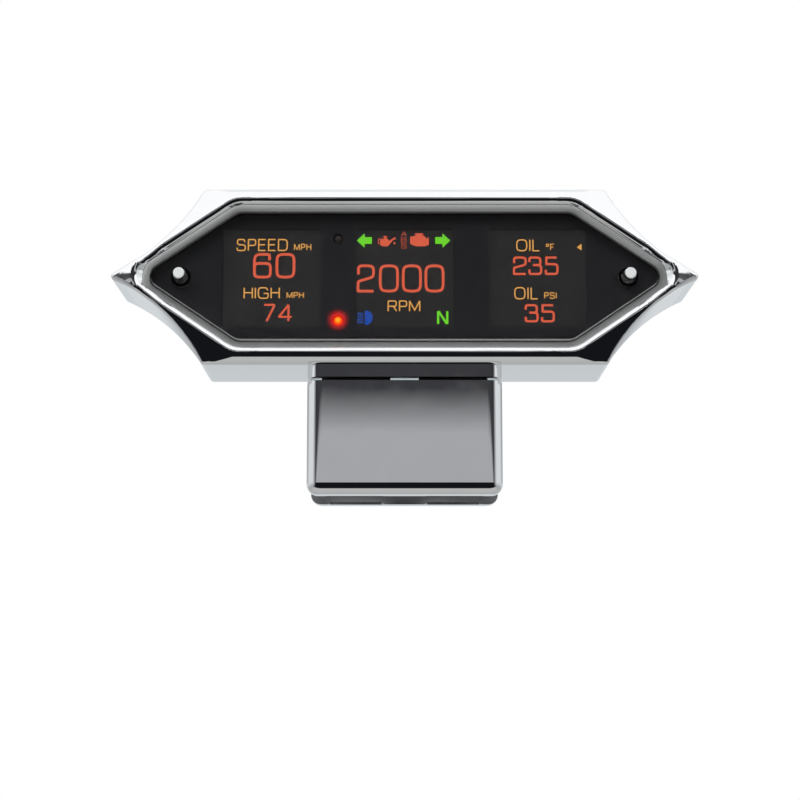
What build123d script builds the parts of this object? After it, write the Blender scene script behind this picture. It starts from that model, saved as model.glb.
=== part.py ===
from build123d import *

"""Handlebar instrument cluster: a cast chrome head with three square displays behind a
smoked lens, two push buttons, sealed electronics, and a chrome neck that sits on the bar.

Units are millimetres. +X is the rider's right, +Y points forward, away from the rider, and
+Z is up. The origin is on the handlebar's axis, midway along the neck's saddle.
The head is drawn lying on its back, with its front face up, and stood up at the end by
stand(). Places in the head are (x, v) across its face, and depths are measured back from
the crest of its front frame.
"""

import os
from math import cos, hypot, radians, sin, tan

# ---------------------------------------------------------------- driving dimensions
BAR_RADIUS = 15.875          # 1 1/4 in handlebar
SADDLE_CLEARANCE = 0.025
HEAD_HEIGHT_ABOVE_BAR = 60.0  # head's centre above the bar's axis
CREST_Y = -24.6              # the frame's crest, in front of the bar's axis

# Head outline
HEAD_LENGTH = 188.5          # tip to tip
HEAD_HEIGHT = 57.5
CORNER_X = 64.9              # where the straight top and bottom edges end
SIDE_SAG = 4.0               # how far each side bows inward
OUTLINE_TIP_RADIUS = 1.4
OUTLINE_TIP_HALF_ANGLE = 22.6  # between the bowed sides where they meet
OUTLINE_CORNER_RADIUS = 1.6
HEAD_DEPTH = 36.6            # crest to back

# Front frame
CREST_HALF_HEIGHT = 24.5
CREST_CORNER_X = 54.8
DIAGONAL_ANGLE = 34.2        # of the window's slanted sides, from the horizontal
WINDOW_CORNER_RADIUS = 9.0
WINDOW_TIP_RADIUS = 5.6
SLOPE_ANGLE = 20.0           # the frame falls away outward from its crest
SLOPE_FALL = 6.0
BEVEL_WIDTH = 3.1            # and inward, down to the trough round the lens
BEVEL_DEPTH = 4.3
LIP_TIP_RADIUS = 4.2         # at the foot of the bevel, where the window's tips are blunter
CREST_RADIUS = 1.8
TOP_RIM_RADIUS = 4.2         # along the straight top and bottom
SIDE_RIM_RADIUS = 1.5
BACK_EDGE_RADIUS = 0.8
LEDGE_DEPTH = 5.0            # the ledge that the lens gasket lies on

# Lens, mask and displays
FIT_GAP = 0.3                # round loose pieces in the cavity
SKIN_GAP = 0.05              # between stacked pieces
SCREW_GAP = 0.2              # round a screw's shaft or head
THREAD_CLEARANCE = 0.05      # round a screw's thread
THREAD_END_GAP = 0.4         # past a screw's tip
LENS_GASKET_THICK = 0.5
LENS_FACE = 1.85             # the lens stands up inside the bevel, nearly to the crest
LENS_EDGE_GAP = 0.45         # between the lens's raised face and the foot of the bevel
LENS_EDGE_RADIUS = 0.35
LENS_FLANGE_FRONT = LEDGE_DEPTH + LENS_GASKET_THICK
LENS_FLANGE_THICK = 2.0
LENS_BACK = LENS_FLANGE_FRONT + LENS_FLANGE_THICK
MASK_FRONT = LENS_BACK + SKIN_GAP
MASK_THICK = 0.8
MASK_BACK = MASK_FRONT + MASK_THICK
DISPLAY_XS = {"left": -42.8, "centre": 0.0, "right": 42.8}
WINDOW_WIDTH = 31.6
WINDOW_HEIGHT = 32.4
WINDOW_RADIUS = 1.2
GLASS_WIDTH = 34.6
GLASS_HEIGHT = 39.6
GLASS_THICK = 1.8
GLASS_CHAMFER = 0.6
BACKLIGHT_HEIGHT = 36.4      # shorter than the glass, whose lower ledge takes the flex cable
BACKLIGHT_THICK = 3.0
BACKLIGHT_RADIUS = 0.8
POCKET_GAP = 0.2

# Carrier and board
CARRIER_FRONT = MASK_BACK + SKIN_GAP
GLASS_BACK = CARRIER_FRONT + GLASS_THICK
POCKET_BACK = GLASS_BACK + BACKLIGHT_THICK + SKIN_GAP
CARRIER_BACK = POCKET_BACK + 1.4
CARRIER_END_X = 80.0         # carrier and board stop short of the head's tips
CARRIER_VENT = 16.0          # side of the square opening behind each display
BOARD_FRONT = CARRIER_BACK + 2.6
BOARD_THICK = 1.6
BOARD_BACK = BOARD_FRONT + BOARD_THICK
STACK_SCREWS = [(x, v) for x in (-64.5, 64.5) for v in (-11.0, 11.0)] + [(-21.4, 0.0), (21.4, 0.0)]
STACK_SCREW_RADIUS = 1.25
STACK_HEAD_RADIUS = 2.25
STACK_HEAD_HEIGHT = 1.5
STACK_ENGAGEMENT = 5.0
STANDOFF_RADIUS = 3.4
FLEX_WIDTH = 14.0
FLEX_THICK = 0.25
FLEX_BEND = 0.6
FLEX_BOND_V = -17.2          # where the cable meets the glass's ledge
FLEX_V = -18.9               # where it passes back through the carrier
FLEX_SLOT = 2.0
SOCKET_V = -15.0
SOCKET_HEIGHT = 1.6
SOCKET_DEPTH = 3.6
CHIPS = [                    # x, v, width, height, thickness
    (-4.0, 6.0, 12.0, 12.0, 1.4),
    (-38.0, 8.0, 10.0, 7.0, 1.2),
    (-52.0, -4.0, 6.0, 8.0, 1.2),
    (2.0, -13.0, 8.0, 5.0, 1.0),
]
CAPACITORS = [(36.0, 12.0), (46.5, 12.0), (56.5, 4.0)]
CAPACITOR_RADIUS = 4.0
CAPACITOR_HEIGHT = 10.5
CAPACITOR_BASE = 1.4
CAPACITOR_ROUND = 0.8
REGULATOR_AT = (48.0, -8.0)
HEADER_AT = (20.5, -14.0)
HEADER_SIZE = (18.0, 8.4)
HEADER_DEPTH = 8.0
HEADER_WALL = 1.0
HEADER_COLUMNS = 6
HEADER_PITCH = 2.54
PIN_SIDE = 0.64
PIN_LENGTH = 7.0

# Rear cover
COVER_THICK = 2.6
COVER_GASKET_THICK = 0.8
COVER_FRONT = HEAD_DEPTH - COVER_THICK
RECESS_BOTTOM = COVER_FRONT - COVER_GASKET_THICK
RECESS_WALL = 1.25
COVER_GAP = 0.15
COVER_SCREWS = [(x, v) for x in (-60.2, 60.2) for v in (-24.0, 24.0)]
COVER_SCREW_RADIUS = 1.5
COVER_SCREW_LENGTH = 9.0
COVER_HEAD_RADIUS = 2.6
COVER_HEAD_HEIGHT = 2.0
COVER_HEAD_SINK = 1.2
COVER_EDGE_RADIUS = 0.6
COVER_BORDER = 3.0           # left standing round the cover's sunken field
COVER_FIELD_DEPTH = 0.7
COVER_RIBS = 4               # each side of the middle one
COVER_RIB_PITCH = 6.0
COVER_RIB_WIDTH = 2.0
COVER_RIB_LENGTH = 24.0
COVER_RIB_HEIGHT = 0.6
COVER_RIB_V = 0.0
POST_RADIUS = 3.6            # the cover's hollow posts press on the board round its screws
VENT_AT = (44.0, -9.0)
VENT_RADIUS = 3.0
VENT_CAP_RADIUS = 4.4
VENT_CAP_PROUD = 0.5
VENT_HOLE_RADIUS = 0.5

# Indicators and buttons
LED_PLACES = {"upper": (-21.45, 12.9), "lower": (-21.45, -13.9)}
LED_RADIUS = 1.5
LED_FLANGE_RADIUS = 1.9
LED_FLANGE_THICK = 1.0
LED_GAP = 0.15
LED_TOP = MASK_FRONT + SKIN_GAP
BUTTON_XS = {"left": -72.0, "right": 72.0}
BUTTON_RADIUS = 1.9
BUTTON_PROUD = 3.3           # out of the lens
BUTTON_FLANGE_RADIUS = 5.2
BUTTON_FLANGE_THICK = 1.2
FLANGE_FRONT = MASK_BACK + 0.15
FLANGE_BACK = FLANGE_FRONT + BUTTON_FLANGE_THICK
BUTTON_ROUND = 0.5
BUTTON_TRAVEL = 1.2
BUTTON_GAP = 0.3             # round the button, all the way down
SEAL_RADIUS = 3.3
SEAL_THICK = 1.2
SWITCH_SIDE = 6.0
SWITCH_HEIGHT = 3.4
SWITCH_OVERLAP = 0.3         # how far the plunger stands in the switch at rest
PLUNGER_RADIUS = 1.6
SPRING_RADIUS = 4.8
SPRING_WIRE = 0.4
SPRING_TURNS = 3.0

# Foot and neck
FOOT_WIDTH = 62.4
FOOT_FRONT_Y = -21.0
FOOT_BACK_Y = 10.5
FOOT_HEIGHT = 4.0
FOOT_ROOT = 1.0              # how far the foot runs up into the head
NECK_EDGE_RADIUS = 4.8
PAD_THICK = 1.1
PAD_XS = (4.7, 26.6)
PAD_YS = (-17.0, 7.0)
PAD_CORNER_RADIUS = 1.5
NECK_HALF_DEPTH = 21.0
NECK_BOTTOM_Z = -10.0
NECK_SHOULDER_RADIUS = 9.0   # along its upper back edge
NECK_LOWER_RADIUS = 3.4
NECK_TOP_THICK = 4.2
NECK_END_WEB = 5.2
NECK_MIDDLE_WEB = 12.0
NECK_POCKET_HALF_DEPTH = 13.0
NECK_POCKET_RADIUS = 2.0
MOUNT_SCREW_X = 11.0
MOUNT_SCREW_Y = -5.0
MOUNT_SCREW_RADIUS = 2.5
MOUNT_HEAD_RADIUS = 4.0
MOUNT_HEAD_HEIGHT = 4.0
MOUNT_ENGAGEMENT = 6.6
WASHER_RADIUS = 4.4
WASHER_THICK = 1.0
WIRE_PORT = (20.5, 1.0)
WIRE_PORT_RADIUS = 4.5
WIRE_WAY_RADIUS = 4.8        # through the pad and the neck below it
GROMMET_FLANGE_RADIUS = 6.0
GROMMET_FLANGE_THICK = 1.2
GROMMET_BORE_RADIUS = 3.0
BOLT_HOLE_RADIUS = 3.4       # tapping size for M8
BOLT_HOLE_TOP_Z = 24.4

# Heights that follow from these
HEAD_BOTTOM_Z = HEAD_HEIGHT_ABOVE_BAR - HEAD_HEIGHT / 2
FOOT_BOTTOM_Z = HEAD_BOTTOM_Z - FOOT_HEIGHT
NECK_TOP_Z = FOOT_BOTTOM_Z - PAD_THICK
POCKET_TOP_Z = NECK_TOP_Z - NECK_TOP_THICK
CAVITY_FLOOR_Z = HEAD_HEIGHT_ABOVE_BAR - CREST_HALF_HEIGHT


# ---------------------------------------------------------------- helpers
def plate(outline, front, back):
    """A sketch made solid between two depths."""
    return extrude(Plane.XY.offset(-back) * outline, amount=back - front, dir=(0, 0, 1))


def rod(x, v, radius, front, back):
    """A round bar between two depths."""
    return plate(Pos(x, v) * Circle(radius), front, back)


def block(x, v, width, height, front, back, radius=0.0):
    """A rectangular bar between two depths, with rounded corners if a radius is given."""
    outline = RectangleRounded(width, height, radius) if radius else Rectangle(width, height)
    return plate(Pos(x, v) * outline, front, back)


def tube(x, v, outer, inner, front, back):
    """A ring between two depths."""
    return plate(Pos(x, v) * (Circle(outer) - Circle(inner)), front, back)


def upright(x, y, radius, low, high):
    """A cylinder along Z in the part's own frame."""
    return Pos(x, y, (low + high) / 2) * Cylinder(radius, high - low)


def stand(shape):
    """Stands a piece of the head up in its place above the bar."""
    return Location((0, CREST_Y, HEAD_HEIGHT_ABOVE_BAR), (90, 0, 0)) * shape


def window(inset=0.0, corner_radius=WINDOW_CORNER_RADIUS, tip_radius=WINDOW_TIP_RADIUS):
    """The window's six-sided outline, inset from the crest line."""
    slope = radians(DIAGONAL_ANGLE)
    height = CREST_HALF_HEIGHT - inset
    corner = CREST_CORNER_X - inset * (1 - cos(slope)) / sin(slope)
    tip = CREST_CORNER_X + CREST_HALF_HEIGHT / tan(slope) - inset / sin(slope)
    right = [(corner, height), (tip, 0), (corner, -height)]
    left = [(-x, y) for x, y in reversed(right)]
    sketch = Polygon(*right, *left, align=None)
    tips = sketch.vertices().sort_by(lambda p: abs(p.X))[-2:]
    sketch = fillet(tips, tip_radius)
    corners = sketch.vertices().filter_by(lambda p: abs(abs(p.Y) - height) < 1e-6)
    return fillet(corners, corner_radius)


def bevel_foot(gap=0.0):
    """The outline at the foot of the bevel, or of the lens's raised face inside it."""
    corner_radius = WINDOW_CORNER_RADIUS - BEVEL_WIDTH - gap
    return window(BEVEL_WIDTH + gap, corner_radius, LIP_TIP_RADIUS - gap)


def head_outline(inset=0.0):
    """The head's outline: straight top and bottom, and sides that bow inward to a tip."""
    top = HEAD_HEIGHT / 2
    tip = HEAD_LENGTH / 2 + OUTLINE_TIP_RADIUS * (1 / sin(radians(OUTLINE_TIP_HALF_ANGLE)) - 1)
    chord = hypot(tip - CORNER_X, top)
    bow_x = (CORNER_X + tip) / 2 - SIDE_SAG * top / chord
    bow_y = top / 2 - SIDE_SAG * (tip - CORNER_X) / chord
    edges = [
        Line((-CORNER_X, top), (CORNER_X, top)),
        ThreePointArc((CORNER_X, top), (bow_x, bow_y), (tip, 0)),
        ThreePointArc((tip, 0), (bow_x, -bow_y), (CORNER_X, -top)),
        Line((CORNER_X, -top), (-CORNER_X, -top)),
        ThreePointArc((-CORNER_X, -top), (-bow_x, -bow_y), (-tip, 0)),
        ThreePointArc((-tip, 0), (-bow_x, bow_y), (-CORNER_X, top)),
    ]
    sketch = Sketch() + make_face(edges)
    if inset:
        sketch = Sketch() + offset(sketch, -inset, kind=Kind.INTERSECTION)
    tips = sketch.vertices().sort_by(lambda p: abs(p.X))[-2:]
    sketch = fillet(tips, OUTLINE_TIP_RADIUS)
    corners = sketch.vertices().filter_by(lambda p: abs(abs(p.Y) - (top - inset)) < 1e-6)
    return fillet(corners, OUTLINE_CORNER_RADIUS)


def short_window(inset):
    """The window's outline cut square before its tips, for the carrier and the board."""
    return window(inset) & Rectangle(2 * (CARRIER_END_X - inset), HEAD_HEIGHT)


def cap_screw(x, v, shaft_radius, head_radius, head_height, head_back, length):
    """A socket head screw driven from the back of the head towards its front."""
    under_head = head_back - head_height
    screw = rod(x, v, shaft_radius, under_head - length, under_head)
    screw += rod(x, v, head_radius, under_head, head_back)
    socket = RegularPolygon(head_radius * 0.5, 6, major_radius=True)
    screw -= plate(Pos(x, v) * socket, head_back - head_height * 0.6, head_back)
    rim = screw.edges().filter_by(GeomType.CIRCLE).filter_by(lambda e: abs(e.radius - head_radius) < 1e-6)
    return chamfer(rim.sort_by(Axis.Z)[0], head_height * 0.12)


# ---------------------------------------------------------------- the head's casting
def front_slopes():
    """The head's block, bounded in front by slopes that fall outward from the crest."""
    spread = SLOPE_FALL / tan(radians(SLOPE_ANGLE))
    foot = window(-spread, WINDOW_CORNER_RADIUS + spread, WINDOW_TIP_RADIUS + spread)
    slopes = loft([window(), Pos(0, 0, -SLOPE_FALL) * foot], ruled=True)
    slopes += plate(Rectangle(2 * HEAD_LENGTH, 2 * HEAD_HEIGHT), SLOPE_FALL, HEAD_DEPTH)
    return slopes & plate(head_outline(), -1, HEAD_DEPTH)


def end_profile():
    """The head seen from its end, with its upper and lower rims rounded."""
    half = HEAD_HEIGHT / 2
    fall = (half - CREST_HALF_HEIGHT) * tan(radians(SLOPE_ANGLE))
    upper = [(CREST_HALF_HEIGHT, 0), (half, -fall), (half, -HEAD_DEPTH)]
    lower = [(-v, depth) for v, depth in reversed(upper)]
    profile = Polygon(*upper, *lower, align=None)
    rims = profile.vertices().filter_by(lambda p: abs(p.Y + fall) < 1e-6)
    return fillet(rims, TOP_RIM_RADIUS)


def window_bevel():
    """What the bevel takes away, from the crest down to the upright lip round the lens."""
    cut = loft([Pos(0, 0, -BEVEL_DEPTH) * bevel_foot(), window()], ruled=True)
    return cut + plate(bevel_foot(), BEVEL_DEPTH, LEDGE_DEPTH + 1)


def head_block():
    """The head as a solid block, with its crest, rim and back edge rounded."""
    solid = front_slopes()
    sides = solid.faces().filter_by(lambda f: abs(f.normal_at().Z) < 1e-3)
    rim = sides.edges().filter_by(lambda e: abs((e % 0.5).Z) < 0.95 and (e @ 0.5).Z > -SLOPE_FALL)
    rim_middles = [e @ 0.5 for e in rim]
    solid -= window_bevel()
    crest = solid.edges().filter_by(lambda e: max(abs(p.Z) for p in e.vertices()) < 1e-6)
    solid = fillet(crest, CREST_RADIUS)
    rim = solid.edges().filter_by(lambda e: min((e @ 0.5 - m).length for m in rim_middles) < 1e-3)
    solid = fillet(rim, SIDE_RIM_RADIUS)
    solid &= extrude(Plane.YZ.offset(-HEAD_LENGTH) * end_profile(), amount=2 * HEAD_LENGTH, dir=(1, 0, 0))
    back = solid.faces().sort_by(Axis.Z)[0].outer_wire().edges()
    return fillet(back, BACK_EDGE_RADIUS)


def foot_block():
    """The shallow foot under the head."""
    depth = FOOT_BACK_Y - FOOT_FRONT_Y
    outline = RectangleRounded(FOOT_WIDTH, depth, NECK_EDGE_RADIUS)
    middle = (FOOT_FRONT_Y + FOOT_BACK_Y) / 2
    return extrude(Pos(0, middle, FOOT_BOTTOM_Z) * outline, amount=FOOT_HEIGHT + FOOT_ROOT)


def housing_shell():
    shell = head_block()
    shell -= plate(window(), LEDGE_DEPTH, HEAD_DEPTH)
    shell -= plate(head_outline(RECESS_WALL), RECESS_BOTTOM, HEAD_DEPTH + 1)
    for x, v in COVER_SCREWS:
        radius = COVER_SCREW_RADIUS + THREAD_CLEARANCE
        shell -= rod(x, v, radius, RECESS_BOTTOM - COVER_SCREW_LENGTH, RECESS_BOTTOM)
    shell = stand(shell) + foot_block()
    radius = MOUNT_SCREW_RADIUS + THREAD_CLEARANCE
    for side in (-1, 1):
        top = FOOT_BOTTOM_Z + MOUNT_ENGAGEMENT + THREAD_END_GAP
        shell -= upright(side * MOUNT_SCREW_X, MOUNT_SCREW_Y, radius, FOOT_BOTTOM_Z - 1, top)
    return shell - upright(*WIRE_PORT, WIRE_PORT_RADIUS, FOOT_BOTTOM_Z - 1, CAVITY_FLOOR_Z + 1)


# ---------------------------------------------------------------- lens and mask
def button_holes(radius, front, back):
    return [rod(x, 0, radius, front, back) for x in BUTTON_XS.values()]


def lens():
    """A thick moulding with a raised face and a flange that is held behind the ledge."""
    face = plate(bevel_foot(LENS_EDGE_GAP), LENS_FACE, LENS_FLANGE_FRONT)
    face = fillet(face.faces().sort_by(Axis.Z)[-1].edges(), LENS_EDGE_RADIUS)
    moulding = face + plate(window(FIT_GAP), LENS_FLANGE_FRONT, LENS_BACK)
    moulding -= button_holes(BUTTON_RADIUS + BUTTON_GAP, LENS_FACE, LENS_BACK)
    moulding -= button_holes(SEAL_RADIUS, LENS_BACK - SEAL_THICK, LENS_BACK)
    return stand(moulding)


def lens_gasket():
    return stand(plate(window(FIT_GAP) - bevel_foot(), LEDGE_DEPTH, LENS_FLANGE_FRONT))


def face_mask():
    mask = plate(window(FIT_GAP), MASK_FRONT, MASK_BACK)
    for x in DISPLAY_XS.values():
        mask -= block(x, 0, WINDOW_WIDTH, WINDOW_HEIGHT, MASK_FRONT, MASK_BACK, WINDOW_RADIUS)
    for x, v in LED_PLACES.values():
        mask -= rod(x, v, LED_RADIUS + LED_GAP, MASK_FRONT, MASK_BACK)
    mask -= button_holes(BUTTON_RADIUS + BUTTON_GAP, MASK_FRONT, MASK_BACK)
    return stand(mask)


# ---------------------------------------------------------------- displays
def display_glass(x):
    glass = block(x, 0, GLASS_WIDTH, GLASS_HEIGHT, CARRIER_FRONT, GLASS_BACK)
    return stand(chamfer(glass.edges().filter_by(Axis.Z), GLASS_CHAMFER))


def display_backlight(x):
    v = (GLASS_HEIGHT - BACKLIGHT_HEIGHT) / 2
    back = GLASS_BACK + BACKLIGHT_THICK
    light = block(x, v, GLASS_WIDTH, BACKLIGHT_HEIGHT, GLASS_BACK, back, BACKLIGHT_RADIUS)
    return stand(light)


def flex_cable(x):
    """Runs from the glass's lower ledge, back through the carrier and up into its socket."""
    bond = GLASS_BACK + SKIN_GAP / 2 + FLEX_THICK / 2
    plugged = BOARD_FRONT - SOCKET_HEIGHT / 2
    route = [(FLEX_BOND_V, -bond), (FLEX_V, -bond), (FLEX_V, -plugged), (SOCKET_V, -plugged)]
    profile = trace(FilletPolyline(*route, radius=FLEX_BEND), FLEX_THICK)
    return extrude(Plane.YZ.offset(x - FLEX_WIDTH / 2) * profile, amount=FLEX_WIDTH)


def flex_socket(x):
    """A low socket on the board, open along its lower side."""
    front = BOARD_FRONT - SOCKET_HEIGHT
    socket = block(x, SOCKET_V, FLEX_WIDTH + 3, SOCKET_DEPTH, front, BOARD_FRONT)
    middle = (front + BOARD_FRONT) / 2
    mouth_v = SOCKET_V - SOCKET_DEPTH / 4 + FLEX_THICK / 2
    mouth = block(x, mouth_v, FLEX_WIDTH + 0.4, SOCKET_DEPTH / 2 + FLEX_THICK,
                  middle - FLEX_THICK, middle + FLEX_THICK)
    return socket - mouth


def display_carrier():
    """The moulded frame that holds the displays, the lamps and the buttons' guides."""
    carrier = plate(short_window(FIT_GAP), CARRIER_FRONT, CARRIER_BACK)
    for x in DISPLAY_XS.values():
        width = GLASS_WIDTH + 2 * POCKET_GAP
        height = GLASS_HEIGHT + 2 * POCKET_GAP
        carrier -= block(x, 0, width, height, CARRIER_FRONT, POCKET_BACK)
        carrier -= block(x, FLEX_V, FLEX_WIDTH + 2, FLEX_SLOT, POCKET_BACK, CARRIER_BACK)
        carrier -= block(x, 0, CARRIER_VENT, CARRIER_VENT, POCKET_BACK, CARRIER_BACK, PAD_CORNER_RADIUS)
    for x, v in LED_PLACES.values():
        carrier -= rod(x, v, LED_RADIUS + LED_GAP, CARRIER_FRONT, CARRIER_BACK)
    carrier -= button_holes(BUTTON_FLANGE_RADIUS + BUTTON_GAP, CARRIER_FRONT, CARRIER_BACK)
    for x, v in STACK_SCREWS:
        radius = STACK_SCREW_RADIUS + THREAD_CLEARANCE
        carrier -= rod(x, v, radius, CARRIER_BACK - STACK_ENGAGEMENT - THREAD_END_GAP, CARRIER_BACK)
    return stand(carrier)


# ---------------------------------------------------------------- board and electronics
def main_board():
    board = plate(short_window(2 * FIT_GAP), BOARD_FRONT, BOARD_BACK)
    for x, v in STACK_SCREWS:
        board -= rod(x, v, STACK_SCREW_RADIUS + SCREW_GAP, BOARD_FRONT, BOARD_BACK)
    return stand(board)


def board_standoffs():
    inner = STACK_SCREW_RADIUS + SCREW_GAP
    rings = [tube(x, v, STANDOFF_RADIUS, inner, CARRIER_BACK, BOARD_FRONT) for x, v in STACK_SCREWS]
    return stand(Compound(rings))


def board_screws():
    length = BOARD_THICK + BOARD_FRONT - CARRIER_BACK + STACK_ENGAGEMENT
    head_back = BOARD_BACK + STACK_HEAD_HEIGHT
    screws = [
        cap_screw(x, v, STACK_SCREW_RADIUS, STACK_HEAD_RADIUS, STACK_HEAD_HEIGHT, head_back, length)
        for x, v in STACK_SCREWS
    ]
    return stand(Compound(screws))


def chip(x, v, width, height, thick):
    """A chip package with a dimple at its first pin."""
    package = block(x, v, width, height, BOARD_BACK, BOARD_BACK + thick)
    package = chamfer(package.faces().sort_by(Axis.Z)[0].edges(), thick * 0.2)
    dimple_x = x - width / 2 + thick
    dimple_v = v + height / 2 - thick
    return package - rod(dimple_x, dimple_v, thick * 0.3, BOARD_BACK + thick * 0.9, BOARD_BACK + thick)


def processor_chips():
    return stand(Compound([chip(*place) for place in CHIPS]))


def power_capacitors():
    cans = []
    for x, v in CAPACITORS:
        can = rod(x, v, CAPACITOR_RADIUS, BOARD_BACK + CAPACITOR_BASE, BOARD_BACK + CAPACITOR_HEIGHT)
        can = fillet(can.edges().sort_by(Axis.Z)[0], CAPACITOR_ROUND)
        side = 2 * CAPACITOR_RADIUS
        can += block(x, v, side, side, BOARD_BACK, BOARD_BACK + CAPACITOR_BASE)
        cans.append(can)
    return stand(Compound(cans))


def voltage_regulator():
    """A power package with its metal tab lying on the board."""
    x, v = REGULATOR_AT
    package = block(x, v, 10.0, 8.6, BOARD_BACK, BOARD_BACK + 4.4)
    package = chamfer(package.faces().sort_by(Axis.Z)[0].edges(), 0.6)
    package += block(x, v + 5.0, 10.0, 1.4, BOARD_BACK, BOARD_BACK + 1.3)
    for step in (-2, -1, 1, 2):
        package += block(x + 1.7 * step, v - 5.8, 0.8, 3.0, BOARD_BACK, BOARD_BACK + 0.5)
    return stand(package)


def indicator_led(x, v):
    """A 3 mm lamp that stands on the board and looks out through the mask."""
    dome_middle = LED_TOP + LED_RADIUS
    lamp = rod(x, v, LED_RADIUS, dome_middle, BOARD_FRONT)
    lamp += Pos(x, v, -dome_middle) * Sphere(LED_RADIUS)
    lamp += rod(x, v, LED_FLANGE_RADIUS, BOARD_FRONT - LED_FLANGE_THICK, BOARD_FRONT)
    return stand(lamp)


def harness_header():
    """An open shroud round the pins that the harness plugs on to."""
    x, v = HEADER_AT
    width, height = HEADER_SIZE
    back = BOARD_BACK + HEADER_DEPTH
    shroud = block(x, v, width, height, BOARD_BACK, back, HEADER_WALL)
    inner_width = width - 2 * HEADER_WALL
    inner_height = height - 2 * HEADER_WALL
    shroud -= block(x, v, inner_width, inner_height, BOARD_BACK + HEADER_WALL, back)
    key_v = v - height / 2 + HEADER_WALL / 2
    return stand(shroud - block(x, key_v, 4.0, HEADER_WALL, BOARD_BACK + 2 * HEADER_WALL, back))


def header_pins():
    x, v = HEADER_AT
    pins = []
    for column in range(HEADER_COLUMNS):
        for row in (-0.5, 0.5):
            px = x + (column - (HEADER_COLUMNS - 1) / 2) * HEADER_PITCH
            pv = v + row * HEADER_PITCH
            pin = block(px, pv, PIN_SIDE, PIN_SIDE, BOARD_BACK + HEADER_WALL, BOARD_BACK + PIN_LENGTH)
            pins.append(chamfer(pin.faces().sort_by(Axis.Z)[0].edges(), PIN_SIDE / 4))
    return stand(Compound(pins))


# ---------------------------------------------------------------- buttons
def button(x):
    """A round pin with a flange that the mask holds back and the spring pushes on."""
    top = LENS_FACE - BUTTON_PROUD
    pin = rod(x, 0, BUTTON_RADIUS, top, FLANGE_FRONT)
    pin = fillet(pin.edges().sort_by(Axis.Z)[-1], BUTTON_ROUND)
    return stand(pin + rod(x, 0, BUTTON_FLANGE_RADIUS, FLANGE_FRONT, FLANGE_BACK))


def button_seal(x):
    seal = tube(x, 0, SEAL_RADIUS - SKIN_GAP, BUTTON_RADIUS + BUTTON_GAP, LENS_BACK - SEAL_THICK, LENS_BACK)
    return stand(seal)


def button_spring(x):
    """A coil spring between the button's flange and the board."""
    start = FLANGE_BACK + SPRING_WIRE / 2 + SKIN_GAP
    end = BOARD_FRONT - SPRING_WIRE / 2 - SKIN_GAP
    pitch = (end - start) / SPRING_TURNS
    coil = Helix(pitch, end - start, SPRING_RADIUS)
    section = Plane(coil @ 0, z_dir=coil % 0) * Circle(SPRING_WIRE / 2)
    return stand(Pos(x, 0, -end) * sweep(section, path=coil, is_frenet=True))


def tact_switch(x):
    front = BOARD_FRONT - SWITCH_HEIGHT
    body = block(x, 0, SWITCH_SIDE, SWITCH_SIDE, front, BOARD_FRONT, 0.5)
    well = SWITCH_OVERLAP + BUTTON_TRAVEL + BUTTON_GAP
    return stand(body - rod(x, 0, PLUNGER_RADIUS + BUTTON_GAP, front, front + well))


def switch_plunger(x):
    end = BOARD_FRONT - SWITCH_HEIGHT + SWITCH_OVERLAP
    return stand(rod(x, 0, PLUNGER_RADIUS, FLANGE_BACK, end))


# ---------------------------------------------------------------- rear cover
def rear_cover():
    cover = plate(head_outline(RECESS_WALL + COVER_GAP), COVER_FRONT, HEAD_DEPTH)
    cover = fillet(cover.faces().sort_by(Axis.Z)[0].outer_wire().edges(), COVER_EDGE_RADIUS)
    field = window(COVER_BORDER, WINDOW_CORNER_RADIUS - COVER_BORDER, WINDOW_TIP_RADIUS - COVER_BORDER)
    cover -= plate(field, HEAD_DEPTH - COVER_FIELD_DEPTH, HEAD_DEPTH)
    for x, v in COVER_SCREWS:
        cover -= rod(x, v, COVER_SCREW_RADIUS + SCREW_GAP, COVER_FRONT, HEAD_DEPTH)
        cover -= rod(x, v, COVER_HEAD_RADIUS + SCREW_GAP, HEAD_DEPTH - COVER_HEAD_SINK, HEAD_DEPTH)
    for x, v in STACK_SCREWS:
        cover += tube(x, v, POST_RADIUS, STACK_HEAD_RADIUS + SCREW_GAP, BOARD_BACK, COVER_FRONT)
    for step in range(-COVER_RIBS, COVER_RIBS + 1):
        rib_back = HEAD_DEPTH - COVER_FIELD_DEPTH + COVER_RIB_HEIGHT
        rib = block(step * COVER_RIB_PITCH, COVER_RIB_V, COVER_RIB_WIDTH, COVER_RIB_LENGTH,
                    HEAD_DEPTH - COVER_FIELD_DEPTH, rib_back, COVER_RIB_WIDTH * 0.49)
        cover += rib
    return stand(cover - rod(*VENT_AT, VENT_RADIUS, COVER_FRONT, HEAD_DEPTH))


def rear_cover_gasket():
    ring = head_outline(RECESS_WALL + COVER_GAP) - window()
    for x, v in COVER_SCREWS:
        ring -= Pos(x, v) * Circle(COVER_SCREW_RADIUS + SCREW_GAP)
    return stand(plate(ring, RECESS_BOTTOM, COVER_FRONT))


def rear_cover_screws():
    head_back = HEAD_DEPTH - COVER_HEAD_SINK + COVER_HEAD_HEIGHT
    length = COVER_SCREW_LENGTH
    screws = [
        cap_screw(x, v, COVER_SCREW_RADIUS, COVER_HEAD_RADIUS, COVER_HEAD_HEIGHT, head_back, length)
        for x, v in COVER_SCREWS
    ]
    return stand(Compound(screws))


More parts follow.
